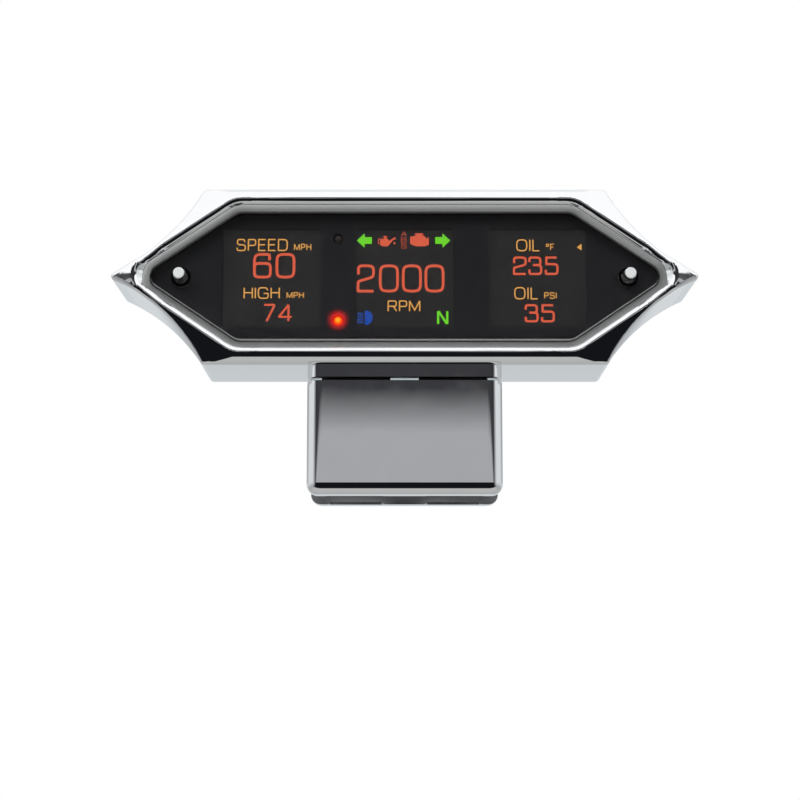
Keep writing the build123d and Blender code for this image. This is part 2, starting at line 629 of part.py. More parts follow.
def vent_plug():
    """A pressed-in breather with four small holes in its cap."""
    x, v = VENT_AT
    floor = HEAD_DEPTH - COVER_FIELD_DEPTH
    plug = rod(x, v, VENT_RADIUS - SKIN_GAP, COVER_FRONT - 0.6, floor)
    cap = rod(x, v, VENT_CAP_RADIUS, floor, HEAD_DEPTH + VENT_CAP_PROUD)
    plug += fillet(cap.edges().sort_by(Axis.Z)[0], VENT_CAP_PROUD)
    for place in GridLocations(VENT_RADIUS, VENT_RADIUS, 2, 2):
        plug -= Pos(x, v) * place * Pos(0, 0, -HEAD_DEPTH) * Cylinder(VENT_HOLE_RADIUS, 4 * COVER_THICK)
    return stand(plug)


# ---------------------------------------------------------------- neck and its mounting
def wire_grommet():
    """A rubber bush in the head's floor for the harness."""
    bush = upright(*WIRE_PORT, WIRE_PORT_RADIUS - SKIN_GAP, FOOT_BOTTOM_Z, CAVITY_FLOOR_Z)
    flange_top = CAVITY_FLOOR_Z + GROMMET_FLANGE_THICK
    bush += upright(*WIRE_PORT, GROMMET_FLANGE_RADIUS, CAVITY_FLOOR_Z, flange_top)
    return bush - upright(*WIRE_PORT, GROMMET_BORE_RADIUS, FOOT_BOTTOM_Z - 1, flange_top + 1)


def isolator_pad(side):
    width = PAD_XS[1] - PAD_XS[0]
    depth = PAD_YS[1] - PAD_YS[0]
    outline = Pos(side * sum(PAD_XS) / 2, sum(PAD_YS) / 2) * RectangleRounded(width, depth, PAD_CORNER_RADIUS)
    pad = extrude(Pos(0, 0, NECK_TOP_Z) * outline, amount=PAD_THICK)
    pad -= upright(side * MOUNT_SCREW_X, MOUNT_SCREW_Y, MOUNT_SCREW_RADIUS + SCREW_GAP, NECK_TOP_Z, FOOT_BOTTOM_Z)
    if side > 0:
        pad -= upright(*WIRE_PORT, WIRE_WAY_RADIUS, NECK_TOP_Z, FOOT_BOTTOM_Z)
    return pad


def neck():
    """A cast box with a saddle for the bar and two pockets that open on to it."""
    height = NECK_TOP_Z - NECK_BOTTOM_Z
    plan = RectangleRounded(FOOT_WIDTH, 2 * NECK_HALF_DEPTH, NECK_EDGE_RADIUS)
    body = extrude(Pos(0, 0, NECK_BOTTOM_Z) * plan, amount=height)
    body &= extrude(Plane.YZ.offset(-FOOT_WIDTH) * neck_side(height), amount=2 * FOOT_WIDTH)
    body = fillet(body.faces().sort_by(Axis.Z)[0].edges(), NECK_LOWER_RADIUS)
    body -= Rot(0, 90, 0) * Cylinder(BAR_RADIUS + SADDLE_CLEARANCE, 2 * FOOT_WIDTH)
    pocket_width = FOOT_WIDTH / 2 - NECK_END_WEB - NECK_MIDDLE_WEB / 2
    pocket_x = (NECK_MIDDLE_WEB + pocket_width) / 2
    pocket = RectangleRounded(pocket_width, 2 * NECK_POCKET_HALF_DEPTH, NECK_POCKET_RADIUS)
    for side in (-1, 1):
        below = 2 * NECK_BOTTOM_Z
        body -= extrude(Pos(side * pocket_x, 0, below) * pocket, amount=POCKET_TOP_Z - below)
        radius = MOUNT_SCREW_RADIUS + SCREW_GAP
        body -= upright(side * MOUNT_SCREW_X, MOUNT_SCREW_Y, radius, POCKET_TOP_Z - 1, NECK_TOP_Z + 1)
    body -= upright(*WIRE_PORT, WIRE_WAY_RADIUS, POCKET_TOP_Z - 1, NECK_TOP_Z + 1)
    return body - upright(0, 0, BOLT_HOLE_RADIUS, 0, BOLT_HOLE_TOP_Z)


def neck_side(height):
    """The neck seen from its end: square, with a round shoulder at its upper back corner."""
    side = Pos(0, NECK_BOTTOM_Z + height / 2) * Rectangle(2 * NECK_HALF_DEPTH, height)
    shoulder = side.vertices().sort_by(lambda p: p.X + p.Y)[-1]
    return fillet(shoulder, NECK_SHOULDER_RADIUS)


def mount_screws():
    """Two screws that come up through the neck's top plate into the head's foot."""
    screws = []
    under_head = POCKET_TOP_Z - WASHER_THICK
    for side in (-1, 1):
        place = (side * MOUNT_SCREW_X, MOUNT_SCREW_Y)
        screw = upright(*place, MOUNT_SCREW_RADIUS, under_head, FOOT_BOTTOM_Z + MOUNT_ENGAGEMENT)
        screw += upright(*place, MOUNT_HEAD_RADIUS, under_head - MOUNT_HEAD_HEIGHT, under_head)
        socket = RegularPolygon(MOUNT_HEAD_RADIUS / 2, 6)
        bottom = under_head - MOUNT_HEAD_HEIGHT
        screw -= extrude(Pos(*place, bottom) * socket, amount=MOUNT_HEAD_HEIGHT / 2)
        screws.append(screw)
    return Compound(screws)


def mount_washers():
    washers = []
    for side in (-1, 1):
        place = (side * MOUNT_SCREW_X, MOUNT_SCREW_Y)
        washer = upright(*place, WASHER_RADIUS, POCKET_TOP_Z - WASHER_THICK, POCKET_TOP_Z)
        hole = upright(*place, MOUNT_SCREW_RADIUS + SCREW_GAP, 0, NECK_TOP_Z)
        washers.append(washer - hole)
    return Compound(washers)


# ---------------------------------------------------------------- the whole part
def all_pieces():
    """Every piece of the part, by name."""
    pieces = {
        "housing_shell": housing_shell(),
        "lens": lens(),
        "lens_gasket": lens_gasket(),
        "face_mask": face_mask(),
        "display_flex_cables": stand(Compound([flex_cable(x) for x in DISPLAY_XS.values()])),
        "flex_sockets": stand(Compound([flex_socket(x) for x in DISPLAY_XS.values()])),
        "display_carrier": display_carrier(),
        "main_board": main_board(),
        "board_standoffs": board_standoffs(),
        "board_screws": board_screws(),
        "processor_chips": processor_chips(),
        "power_capacitors": power_capacitors(),
        "voltage_regulator": voltage_regulator(),
        "harness_header": harness_header(),
        "header_pins": header_pins(),
        "rear_cover": rear_cover(),
        "rear_cover_gasket": rear_cover_gasket(),
        "rear_cover_screws": rear_cover_screws(),
        "vent_plug": vent_plug(),
        "wire_grommet": wire_grommet(),
        "neck": neck(),
        "isolator_pad_left": isolator_pad(-1),
        "isolator_pad_right": isolator_pad(1),
        "mount_screws": mount_screws(),
        "mount_washers": mount_washers(),
    }
    for name, x in DISPLAY_XS.items():
        pieces[f"display_glass_{name}"] = display_glass(x)
        pieces[f"display_backlight_{name}"] = display_backlight(x)
    for name, (x, v) in LED_PLACES.items():
        pieces[f"indicator_led_{name}"] = indicator_led(x, v)
    for name, x in BUTTON_XS.items():
        pieces[f"button_{name}"] = button(x)
        pieces[f"button_seal_{name}"] = button_seal(x)
        pieces[f"button_spring_{name}"] = button_spring(x)
        pieces[f"tact_switch_{name}"] = tact_switch(x)
        pieces[f"switch_plunger_{name}"] = switch_plunger(x)
    return pieces


if __name__ == "__main__":
    os.makedirs("parts", exist_ok=True)
    for name, piece in all_pieces().items():
        export_step(piece, f"parts/{name}.step")
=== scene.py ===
"""Looks for the motorcycle instrument cluster: chrome casting, smoked lens, lit display and fittings."""

from math import cos, pi, radians, sin, tan

import bmesh
import bpy
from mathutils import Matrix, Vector


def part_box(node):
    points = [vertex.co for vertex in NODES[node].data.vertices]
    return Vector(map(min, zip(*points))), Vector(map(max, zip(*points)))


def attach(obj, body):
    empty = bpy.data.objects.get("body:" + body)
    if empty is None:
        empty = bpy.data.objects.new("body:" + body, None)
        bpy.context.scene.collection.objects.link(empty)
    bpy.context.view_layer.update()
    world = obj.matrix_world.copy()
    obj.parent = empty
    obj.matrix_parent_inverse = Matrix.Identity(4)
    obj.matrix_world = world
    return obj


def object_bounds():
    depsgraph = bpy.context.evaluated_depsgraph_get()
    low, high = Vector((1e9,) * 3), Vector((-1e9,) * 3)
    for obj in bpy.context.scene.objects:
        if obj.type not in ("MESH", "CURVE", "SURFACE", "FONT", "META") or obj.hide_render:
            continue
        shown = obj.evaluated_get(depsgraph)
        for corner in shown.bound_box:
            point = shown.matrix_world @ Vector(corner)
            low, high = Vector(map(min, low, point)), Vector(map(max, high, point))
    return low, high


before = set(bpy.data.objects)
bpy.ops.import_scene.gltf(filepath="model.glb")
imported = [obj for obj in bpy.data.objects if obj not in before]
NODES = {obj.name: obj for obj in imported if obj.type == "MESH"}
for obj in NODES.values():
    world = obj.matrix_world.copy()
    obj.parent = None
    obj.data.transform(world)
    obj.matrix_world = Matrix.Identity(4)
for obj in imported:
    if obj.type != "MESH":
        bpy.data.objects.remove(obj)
CAD_LOW, CAD_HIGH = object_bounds()
MM = 0.001

# Camera: below the head, looking slightly up
LENS_MM = 81.0
CAMERA_PLACE = (-0.0015, -0.5845, -0.0742)
CAMERA_TILT_UP = 9.46  # degrees

FLOOR_DROP = 0.30        # the floor's depth below the part's lowest point
FLOOR_RADIUS = 3.0
SOFTBOX_SIZE = 0.9
SOFTBOX_WATTS = 14

# The saddle bore is machined out to here, and the plating starts just outside it
BORE_RADIUS = 15.95 * MM
PLATED_FROM = 16.15 * MM

# Lit glyphs on the three displays
GLYPH_GAP = 0.010 * MM
GLYPH_THICK = 0.030 * MM
GLYPH_SHIFT = (0, 0, -0.2 * MM)
ARC_STEPS = 6

scene = bpy.context.scene
scene.view_settings.view_transform = "Standard"


# ---------------------------------------------------------------- node helpers

def srgb(r, g, b):
    """An 8-bit screen colour as linear RGBA."""
    def linear(c):
        c /= 255
        return c / 12.92 if c <= 0.04045 else ((c + 0.055) / 1.055) ** 2.4
    return (linear(r), linear(g), linear(b), 1.0)


class Tree:
    """A node tree, built one short call at a time."""

    def __init__(self, tree):
        self.tree = tree

    def node(self, kind, **values):
        made = self.tree.nodes.new(kind)
        for key, value in values.items():
            setattr(made, key, value)
        return made

    def feed(self, socket, value):
        if isinstance(value, bpy.types.NodeSocket):
            self.tree.links.new(value, socket)
        else:
            socket.default_value = value

    def span(self, value, low, high, to_low=0.0, to_high=1.0):
        """The value carried from one range to another, and held at its ends."""
        made = self.node("ShaderNodeMapRange")
        self.feed(made.inputs["Value"], value)
        for name, number in zip(("From Min", "From Max", "To Min", "To Max"), (low, high, to_low, to_high)):
            self.feed(made.inputs[name], number)
        return made.outputs["Result"]

    def math(self, operation, a, b=0.0, clamp=False):
        made = self.node("ShaderNodeMath", operation=operation, use_clamp=clamp)
        self.feed(made.inputs[0], a)
        self.feed(made.inputs[1], b)
        return made.outputs[0]

    def mix(self, share, a, b):
        made = self.node("ShaderNodeMix", data_type="RGBA")
        self.feed(made.inputs["Factor"], share)
        self.feed(made.inputs["A"], a)
        self.feed(made.inputs["B"], b)
        return made.outputs["Result"]

    def part(self, vector, name):
        """One component of a vector: X, Y or Z."""
        made = self.node("ShaderNodeSeparateXYZ")
        self.feed(made.inputs[0], vector)
        return made.outputs[name]


class Graph(Tree):
    """A material, with its Principled shader and the position it is drawn at."""

    def __init__(self, name):
        self.mat = bpy.data.materials.new(name)
        self.mat.use_nodes = True
        super().__init__(self.mat.node_tree)
        self.shader = self.tree.nodes["Principled BSDF"]
        self.geometry = self.node("ShaderNodeNewGeometry")
        self.place = self.geometry.outputs["Position"]

    def set(self, **values):
        """Principled inputs by name, with _ for a space."""
        for key, value in values.items():
            self.feed(self.shader.inputs[key.replace("_", " ")], value)

    def noise(self, size, detail=2.0, stretch=(1, 1, 1)):
        """Noise with features of about this size in metres."""
        scaled = self.node("ShaderNodeVectorMath", operation="MULTIPLY")
        self.feed(scaled.inputs[0], self.place)
        scaled.inputs[1].default_value = [s / size for s in stretch]
        made = self.node("ShaderNodeTexNoise")
        self.feed(made.inputs["Vector"], scaled.outputs[0])
        made.inputs["Scale"].default_value = 1.0
        made.inputs["Detail"].default_value = detail
        return made.outputs["Fac"]

    def bump(self, height, depth):
        made = self.node("ShaderNodeBump")
        self.feed(made.inputs["Height"], height)
        made.inputs["Distance"].default_value = depth
        made.inputs["Strength"].default_value = 1.0
        self.set(Normal=made.outputs["Normal"])

    def axis(self, name):
        return self.part(self.place, name)

    def distance(self, centre, stretch=(1, 1, 1)):
        """Distance from a point in metres, with any axis left out by a stretch of 0."""
        away = self.node("ShaderNodeVectorMath", operation="SUBTRACT")
        self.feed(away.inputs[0], self.place)
        away.inputs[1].default_value = centre
        scaled = self.node("ShaderNodeVectorMath", operation="MULTIPLY")
        self.feed(scaled.inputs[0], away.outputs[0])
        scaled.inputs[1].default_value = stretch
        length = self.node("ShaderNodeVectorMath", operation="LENGTH")
        self.feed(length.inputs[0], scaled.outputs[0])
        return length.outputs["Value"]


# ---------------------------------------------------------------- materials

def chrome():
    """Polished chrome on a casting; the saddle bore is left as a duller machined surface."""
    g = Graph("polished_chrome")
    haze = g.noise(6 * MM, 3.0)
    fine = g.noise(0.35 * MM, 2.0)
    inside_bore = g.span(g.distance((0, 0, 0), (0, 1, 1)), BORE_RADIUS, PLATED_FROM, 1.0, 0.0)
    polished = g.span(haze, 0.35, 0.7, 0.012, 0.045)
    machined = g.span(fine, 0.2, 0.8, 0.28, 0.42)
    g.set(
        Metallic=1.0,
        Base_Color=g.mix(
            inside_bore,
            g.mix(haze, srgb(242, 244, 246), srgb(250, 251, 252)),
            srgb(176, 178, 180),
        ),
        Roughness=g.span(inside_bore, 0.0, 1.0, polished, machined),
    )
    g.bump(g.noise(14 * MM, 1.0), 0.006 * MM)
    return g.mat


def smoked_lens():
    """Smoked acrylic with a polished face and routed, frosted edges."""
    g = Graph("smoked_acrylic")
    wiped = g.noise(9 * MM, 3.0, (1, 1, 2.5))
    facing = g.math("ABSOLUTE", g.part(g.geometry.outputs["Normal"], "Y"))
    edge = g.span(facing, 0.25, 0.6, 1.0, 0.0)
    smoke = g.mix(wiped, (0.49, 0.49, 0.495, 1), (0.52, 0.52, 0.525, 1))
    g.set(
        Base_Color=g.mix(edge, smoke, srgb(214, 215, 213)),
        Roughness=g.span(edge, 0.0, 1.0, g.span(wiped, 0.3, 0.8, 0.0, 0.02), 0.45),
        Transmission_Weight=g.span(edge, 0.0, 1.0, 1.0, 0.15),
        IOR=1.49,
    )
    return g.mat


def rubber():
    """Moulded black rubber: fine sandy grain and slight dusty patches."""
    g = Graph("black_epdm")
    grain = g.noise(0.25 * MM, 3.0)
    bloom = g.noise(5 * MM, 3.0)
    g.set(
        Base_Color=g.mix(g.span(bloom, 0.35, 0.75), srgb(24, 24, 25), srgb(40, 40, 41)),
        Roughness=g.span(grain, 0.2, 0.8, 0.62, 0.85),
        Specular_IOR_Level=0.35,
    )
    g.bump(grain, 0.03 * MM)
    return g.mat


def moulded(name, low, high, rough=(0.38, 0.55), grain_size=0.45, grain_depth=0.02):
    """Moulded plastic with a spark-eroded grain."""
    g = Graph(name)
    grain = g.noise(grain_size * MM, 3.0)
    flow = g.noise(12 * MM, 2.0)
    g.set(
        Base_Color=g.mix(flow, srgb(*low), srgb(*high)),
        Roughness=g.span(grain, 0.25, 0.75, *rough),
    )
    g.bump(grain, grain_depth * MM)
    return g.mat


def mask_ink():
    """Printed film, dark under the smoked lens, with a painted red glow of the lit lamp on it."""
    g = Graph("mask_film")
    low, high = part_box("indicator_led_lower")
    lamp = (low + high) / 2
    ink = g.noise(0.8 * MM, 3.0)
    # Painted glow: the lower lamp's red light is painted onto the film as emission that fades within a few
    # millimetres of the lamp.
    away = g.distance(lamp, (1, 0, 1))
    painted_lamp_glow = g.span(away, 1.4 * MM, 4.4 * MM, 1.0, 0.0)
    painted_lamp_glow = g.math("POWER", painted_lamp_glow, 2.6)
    g.set(
        Base_Color=g.mix(ink, srgb(108, 108, 112), srgb(116, 116, 120)),
        Roughness=g.span(ink, 0.3, 0.7, 0.45, 0.6),
        Emission_Color=srgb(255, 20, 12),
        Emission_Strength=g.math("MULTIPLY", painted_lamp_glow, 2.0),
    )
    return g.mat


def display_face():
    """The liquid-crystal cell: dark under the smoked lens, with its faint dot matrix."""
    g = Graph("display_cell")
    pitch = 0.30 * MM
    rows = []
    for name in ("X", "Z"):
        cell = g.math("FRACT", g.math("DIVIDE", g.axis(name), pitch))
        rows.append(g.math("GREATER_THAN", cell, 0.12))
    dots = g.math("MULTIPLY", rows[0], rows[1])
    tint = g.noise(18 * MM, 1.0)
    dark = g.mix(tint, srgb(112, 112, 112), srgb(120, 120, 119))
    g.set(
        Base_Color=g.mix(dots, srgb(92, 92, 93), dark),
        Roughness=g.span(tint, 0.3, 0.7, 0.32, 0.42),
        Emission_Color=srgb(120, 120, 118),
        Emission_Strength=g.span(dots, 0.0, 1.0, 0.07, 0.10),
    )
    return g.mat


def glow(name, colour, strength):
    """A lit glyph, with a slight dot texture over its colour."""
    g = Graph(name)
    speck = g.noise(0.5 * MM, 2.0)
    g.set(
        Base_Color=srgb(20, 18, 18),
        Roughness=0.5,
        Emission_Color=g.mix(g.span(speck, 0.3, 0.7, 0.0, 0.14), colour, (0.25, 0.2, 0.2, 1)),
        Emission_Strength=strength,
    )
    return g.mat


def lamp():
    """Both lamps: the lower one red and lit orange at its crown, the upper one pale and unlit."""
    g = Graph("lamp_red_lit")
    low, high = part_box("indicator_led_lower")
    centre = (low + high) / 2
    away = g.distance(centre, (1, 0, 1))
    core = g.span(away, 0.3 * MM, 1.5 * MM, 1.0, 0.0)
    lit = g.math("LESS_THAN", away, 4 * MM)
    swirl = g.noise(0.8 * MM, 2.0)
    g.set(
        Base_Color=g.mix(lit, srgb(176, 168, 156), g.mix(swirl, srgb(96, 14, 12), srgb(128, 22, 18))),
        Roughness=g.span(swirl, 0.3, 0.7, 0.12, 0.2),
        Emission_Color=g.mix(core, srgb(255, 24, 10), srgb(255, 138, 24)),
        Emission_Strength=g.math("MULTIPLY", lit, g.span(core, 0.0, 1.0, 2.0, 3.8)),
    )
    return g.mat


def metal(name, low, high, rough):
    """Bare or plated metal with even tool marks."""
    g = Graph(name)
    marks = g.noise(0.3 * MM, 3.0)
    tone = g.noise(3 * MM, 2.0)
    g.set(
        Metallic=1.0,
        Base_Color=g.mix(tone, srgb(*low), srgb(*high)),
        Roughness=g.span(marks, 0.25, 0.75, *rough),
    )
    g.bump(marks, 0.004 * MM)
    return g.mat


def button_metal():
    """A turned button: bead-blasted face, polished side."""
    g = Graph("turned_button_steel")
    facing = g.math("ABSOLUTE", g.part(g.geometry.outputs["Normal"], "Y"))
    face = g.span(facing, 0.6, 0.9)
    grit = g.noise(0.2 * MM, 3.0)
    polished = g.span(grit, 0.3, 0.7, 0.12, 0.2)
    blasted = g.span(grit, 0.3, 0.7, 0.45, 0.6)
    g.set(
        Metallic=g.span(face, 0.0, 1.0, 1.0, 0.35),
        Base_Color=g.mix(g.noise(1.5 * MM), srgb(226, 230, 229), srgb(240, 243, 242)),
        Roughness=g.span(face, 0.0, 1.0, polished, blasted),
    )
    g.bump(grit, 0.004 * MM)
    return g.mat


def board_green():
    """Solder mask over copper: traces on a grid, darker board between."""
    g = Graph("solder_mask")
    lanes = []
    for name, pitch in (("X", 2.6), ("Z", 1.9)):
        lane = g.math("FRACT", g.math("DIVIDE", g.axis(name), pitch * MM))
        lanes.append(g.math("LESS_THAN", lane, 0.16))
    wander = g.math("GREATER_THAN", g.noise(7 * MM, 1.0), 0.48)
    other = g.math("SUBTRACT", 1.0, wander)
    trace = g.math("ADD", g.math("MULTIPLY", lanes[0], wander), g.math("MULTIPLY", lanes[1], other), True)
    mottle = g.noise(2 * MM, 3.0)
    g.set(
        Base_Color=g.mix(trace, g.mix(mottle, srgb(16, 66, 38), srgb(20, 76, 44)), srgb(34, 104, 60)),
        Roughness=g.span(mottle, 0.3, 0.7, 0.25, 0.4),
        Coat_Weight=0.3,
    )
    g.bump(trace, 0.035 * MM)
    return g.mat


def capacitor():
    """A dark sleeve with pale polarity stripes."""
    g = Graph("capacitor_sleeve")
    stripe = g.math("LESS_THAN", g.math("FRACT", g.math("DIVIDE", g.axis("X"), 5 * MM)), 0.22)
    scuff = g.noise(1.2 * MM, 3.0)
    g.set(
        Base_Color=g.mix(stripe, g.mix(scuff, srgb(22, 26, 34), srgb(30, 34, 44)), srgb(150, 152, 156)),
        Roughness=g.span(scuff, 0.3, 0.7, 0.3, 0.45),
    )
    return g.mat


def flex_film():
    """Amber polyimide over copper tracks that run along the cable."""
    g = Graph("polyimide_film")
    track = g.math("GREATER_THAN", g.math("FRACT", g.math("DIVIDE", g.axis("X"), 0.8 * MM)), 0.5)
    cloud = g.noise(4 * MM, 2.0)
    g.set(
        Base_Color=g.mix(track, g.mix(cloud, srgb(150, 84, 22), srgb(168, 98, 30)), srgb(120, 62, 20)),
        Roughness=g.span(cloud, 0.3, 0.7, 0.3, 0.42),
        Coat_Weight=0.4,
    )
    g.bump(track, 0.02 * MM)
    return g.mat


FINISHES = {
    "chrome_casting": chrome(),
    "smoked_lens": smoked_lens(),
    "black_rubber": rubber(),
    "mask_black": mask_ink(),
    "display_panel": display_face(),
    "backlight_white": moulded("backlight_acrylic", (214, 216, 214), (228, 230, 228), (0.3, 0.42)),
    "carrier_plastic": moulded("carrier_abs", (40, 41, 43), (50, 51, 53)),
    "flex_amber": flex_film(),
    "socket_plastic": moulded("socket_nylon", (26, 26, 27), (38, 38, 39), (0.42, 0.6)),
    "circuit_board": board_green(),
    "brass_fittings": metal("plated_brass", (196, 160, 92), (214, 178, 108), (0.22, 0.38)),
    "steel_fasteners": metal("stainless_steel", (176, 178, 182), (198, 200, 203), (0.22, 0.36)),
    "capacitor_can": capacitor(),
    "lamp_red": lamp(),
    "bright_steel_button": button_metal(),
    "plunger_plastic": moulded("plunger_acetal", (226, 226, 220), (236, 236, 230), (0.35, 0.5)),
    "cover_black": moulded("cover_nylon", (30, 31, 33), (42, 43, 45), (0.42, 0.62), 0.6, 0.05),
    "vent_plastic": moulded("vent_nylon", (48, 49, 51), (60, 61, 63), (0.4, 0.55)),
}

for node in NODES.values():
    packed_slot = node.data.materials[0].name.split(".")[0]
    node.data.materials[0] = FINISHES[packed_slot]


# ---------------------------------------------------------------- lit glyphs

def rounded(points, radius, closed=False):
    """The polyline with each inner corner rounded; a point's own third number is its radius instead."""
    radii = [p[2] if len(p) > 2 else radius for p in points]
    points = [Vector(p[:2]) for p in points]
    count = len(points)
    made = []
    for i, here in enumerate(points):
        if not closed and i in (0, count - 1):
            made.append(here)
            continue
        before = points[i - 1] - here
        after = points[(i + 1) % count] - here
        turn = before.angle(after)
        reach = min(radii[i] / tan(turn / 2), before.length * 0.499, after.length * 0.499)
        if reach < 1e-9 or turn > pi - 0.01:
            made.append(here)
            continue
        start = here + before.normalized() * reach
        end = here + after.normalized() * reach
        for step in range(ARC_STEPS + 1):
            t = step / ARC_STEPS
            curve = start * (1 - t) ** 2 + here * 2 * t * (1 - t) + end * t ** 2
            blend = 0.18 * sin(pi * t)
            made.append(curve.lerp(here, blend))
    return made


def ribbon(points, width, closed=False):
    """Left and right sides of a stroke of that width, mitred at each point."""
    left, right = [], []
    count = len(points)
    for i, here in enumerate(points):
        before = points[i - 1] if closed or i > 0 else None
        after = points[(i + 1) % count] if closed or i < count - 1 else None
        ways = [b - a for a, b in ((before, here), (here, after)) if a is not None and b is not None]
        ways = [way.normalized() for way in ways]
        normals = [Vector((-w.y, w.x)) for w in ways]
        side = sum(normals, Vector((0, 0))).normalized()
        side *= width / 2 / max(0.5, side.dot(normals[0]))
        left.append(here + side)
        right.append(here - side)
    return left, right


class Glyphs:
    """Flat lit shapes just in front of one display's glass, gathered into one mesh."""

    def __init__(self, display):
        low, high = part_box(display)
        self.mesh = bmesh.new()
        self.centre = (low + high) / 2 + Vector(GLYPH_SHIFT)
        self.back = low.y - GLYPH_GAP
        self.front = self.back - GLYPH_THICK

    def point(self, p, y):
        return self.mesh.verts.new((self.centre.x + p.x * MM, y, self.centre.z + p.y * MM))

    def slab(self, rings):
        """Closed solid between two outlines, or inside one: rings is [outline] or [outer, inner]."""
        fronts = [[self.point(p, self.front) for p in ring] for ring in rings]
        backs = [[self.point(p, self.back) for p in ring] for ring in rings]
        for front, back in zip(fronts, backs):
            for i in range(len(front)):
                self.mesh.faces.new((front[i - 1], front[i], back[i], back[i - 1]))
        if len(rings) == 1:
            self.mesh.faces.new(fronts[0])
            self.mesh.faces.new(backs[0])
            return
        for outer, inner in (fronts, backs):
            for i in range(len(outer)):
                self.mesh.faces.new((outer[i - 1], outer[i], inner[i], inner[i - 1]))

    def stroke(self, points, width, closed=False):
        left, right = ribbon(points, width, closed)
        if closed:
            self.slab([left, right])
            return
        fronts = [[self.point(p, self.front) for p in side] for side in (left, right)]
        backs = [[self.point(p, self.back) for p in side] for side in (left, right)]
        walls = ((fronts[0], fronts[1]), (backs[0], backs[1]), (fronts[0], backs[0]), (fronts[1], backs[1]))
        for a, b in walls:
            for i in range(1, len(a)):
                self.mesh.faces.new((a[i - 1], a[i], b[i], b[i - 1]))
        for i in (0, -1):
            self.mesh.faces.new((fronts[0][i], fronts[1][i], backs[1][i], backs[0][i]))

    def finish(self, name, finish):
        bmesh.ops.triangulate(self.mesh, faces=[f for f in self.mesh.faces if len(f.verts) > 4])
        bmesh.ops.recalc_face_normals(self.mesh, faces=self.mesh.faces)
        data = bpy.data.meshes.new(name)
        self.mesh.to_mesh(data)
        data.materials.append(finish)
        piece = bpy.data.objects.new(name, data)
        scene.collection.objects.link(piece)
        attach(piece, "root")


# Each character: its width for a height of 1, then strokes as (closed, corner radius, points).
# Points run from 0 to 1 across the character's box, and a third number is that corner's own radius.
SQUARE = 0.30
TIGHT = 0.22
UPRIGHT_LEFT = (False, 0.0, [(0, 0), (0, 1)])
UPRIGHT_RIGHT = (False, 0.0, [(1, 0), (1, 1)])
BOX = [(0, 0), (1, 0), (1, 1), (0, 1)]
CHARACTERS = {
    "0": (0.74, [(True, SQUARE, BOX)]),
    "2": (0.70, [
        (False, TIGHT, [(0.02, 0.66), (0.02, 1), (1, 1), (1, 0.56), (0, 0.38, 0.12), (0, 0, 0.02), (1, 0)]),
    ]),
    "3": (0.72, [
        (False, TIGHT, [(0, 0.72), (0, 1), (0.94, 1), (0.94, 0.54), (0.30, 0.54)]),
        (False, TIGHT, [(0.30, 0.54), (1, 0.54), (1, 0), (0, 0), (0, 0.28)]),
    ]),
    "4": (0.78, [
        (False, 0.0, [(0.74, 0), (0.74, 1)]),
        (False, 0.02, [(0.74, 1), (0, 0.26), (1, 0.26)]),
    ]),
    "5": (0.70, [
        (False, TIGHT, [
            (0.94, 1), (0.06, 1, 0.02), (0.06, 0.60, 0.02), (1, 0.60), (1, 0), (0, 0), (0, 0.26),
        ]),
    ]),
    "6": (0.72, [
        (False, SQUARE, [(0.94, 0.74), (0.94, 1), (0, 1), (0, 0.3)]),
        (True, TIGHT, [(0, 0), (1, 0), (1, 0.60), (0, 0.60)]),
    ]),
    "7": (0.66, [(False, 0.0, [(0, 1), (0.98, 1)]), (False, 0.0, [(0.98, 1), (0.24, 0)])]),
    "A": (0.90, [(False, 0.0, [(0, 0), (0.5, 1), (1, 0)]), (False, 0.0, [(0.2, 0.36), (0.8, 0.36)])]),
    "B": (0.80, [
        (True, 0.24, [(0, 0.52), (0.9, 0.52), (0.9, 1), (0, 1)]),
        (True, 0.24, [(0, 0), (1, 0), (1, 0.52), (0, 0.52)]),
        UPRIGHT_LEFT,
    ]),
    "D": (0.77, [(False, 0.46, BOX), UPRIGHT_LEFT]),
    "E": (0.60, [(False, 0.0, [(1, 1), (0, 1), (0, 0), (1, 0)]), (False, 0.0, [(0, 0.52), (0.92, 0.52)])]),
    "F": (0.56, [(False, 0.0, [(1, 1), (0, 1), (0, 0)]), (False, 0.0, [(0, 0.50), (0.86, 0.50)])]),
    "G": (0.88, [
        (False, 0.42, [(0.97, 0.76), (0.80, 1), (0, 1), (0, 0), (1, 0), (1, 0.46)]),
        (False, 0.0, [(0.55, 0.46), (1.05, 0.46)]),
    ]),
    "H": (0.74, [UPRIGHT_LEFT, UPRIGHT_RIGHT, (False, 0.0, [(0, 0.53), (1, 0.53)])]),
    "I": (0.001, [(False, 0.0, [(0.5, 0), (0.5, 1)])]),
    "L": (0.58, [(False, 0.0, [(0, 1), (0, 0), (1, 0)])]),
    "M": (0.92, [UPRIGHT_LEFT, UPRIGHT_RIGHT, (False, 0.0, [(0, 1), (0.5, 0.1), (1, 1)])]),
    "N": (0.72, [UPRIGHT_LEFT, UPRIGHT_RIGHT, (False, 0.0, [(0.04, 1), (0.96, 0)])]),
    "O": (0.92, [(True, 0.47, BOX)]),
    "P": (0.64, [(False, 0.25, [(0, 0.46), (1, 0.46), (1, 1), (0, 1)]), UPRIGHT_LEFT]),
    "R": (0.76, [
        (False, 0.25, [(0, 0.48), (0.96, 0.48), (0.96, 1), (0, 1)]),
        UPRIGHT_LEFT,
        (False, 0.12, [(0.40, 0.48), (0.66, 0.44), (1, 0)]),
    ]),
    "S": (0.72, [
        (False, 0.25, [
            (0.94, 0.76), (0.86, 1), (0.04, 1), (0.04, 0.54), (1, 0.50), (1, 0), (0.06, 0), (0, 0.26),
        ]),
    ]),
    "*": (0.40, [(True, 0.19, [(0, 0.6), (1, 0.6), (1, 1), (0, 1)])]),
}


